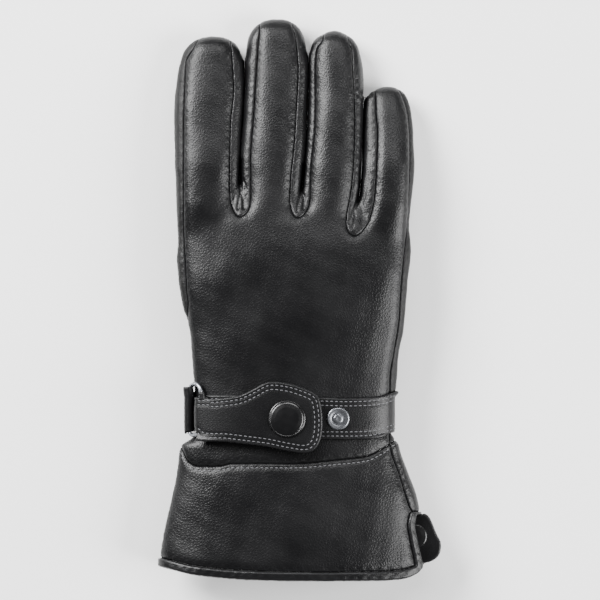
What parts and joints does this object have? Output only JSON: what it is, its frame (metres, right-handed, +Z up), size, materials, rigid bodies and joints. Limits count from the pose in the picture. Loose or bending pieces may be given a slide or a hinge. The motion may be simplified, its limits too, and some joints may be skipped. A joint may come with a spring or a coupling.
{
  "type": "glove",
  "caption": "Right-hand black leather gauntlet glove lying palm down, with a strapped and snapped wrist, a flared bound cuff with a side slit, and the thumb folded under the palm.",
  "frame": {"origin": "middle of the underside, on the surface that the glove lies on", "axes": "+Z up, away from the back of the hand; +Y towards the fingertips; +X towards the little finger"},
  "size_m": [0.1362, 0.2694, 0.0398],
  "materials": {
    "black_leather": "smooth satin",
    "palm_leather": "fine matt grain",
    "strap_leather": "smooth satin",
    "gunmetal": "polished, dark",
    "black_enamel": "gloss"
  },
  "bodies": {
    "root": {"fourchette_index_middle": "black_leather", "fourchette_middle_ring": "black_leather", "fourchette_ring_little": "black_leather", "thumb": "black_leather", "hand_back": "black_leather", "hand_palm": "palm_leather", "cuff_binding": "strap_leather", "gauntlet_back": "black_leather", "gauntlet_palm": "black_leather", "cuff_tab": "strap_leather", "cuff_tab_snap": "black_enamel", "wrist_strap": "strap_leather", "snap_cap": "black_enamel", "snap_stud_closed": "gunmetal", "snap_stud_spare": "gunmetal", "ring_keeper": "strap_leather", "strap_ring": "gunmetal"}
  },
  "joints": []
}
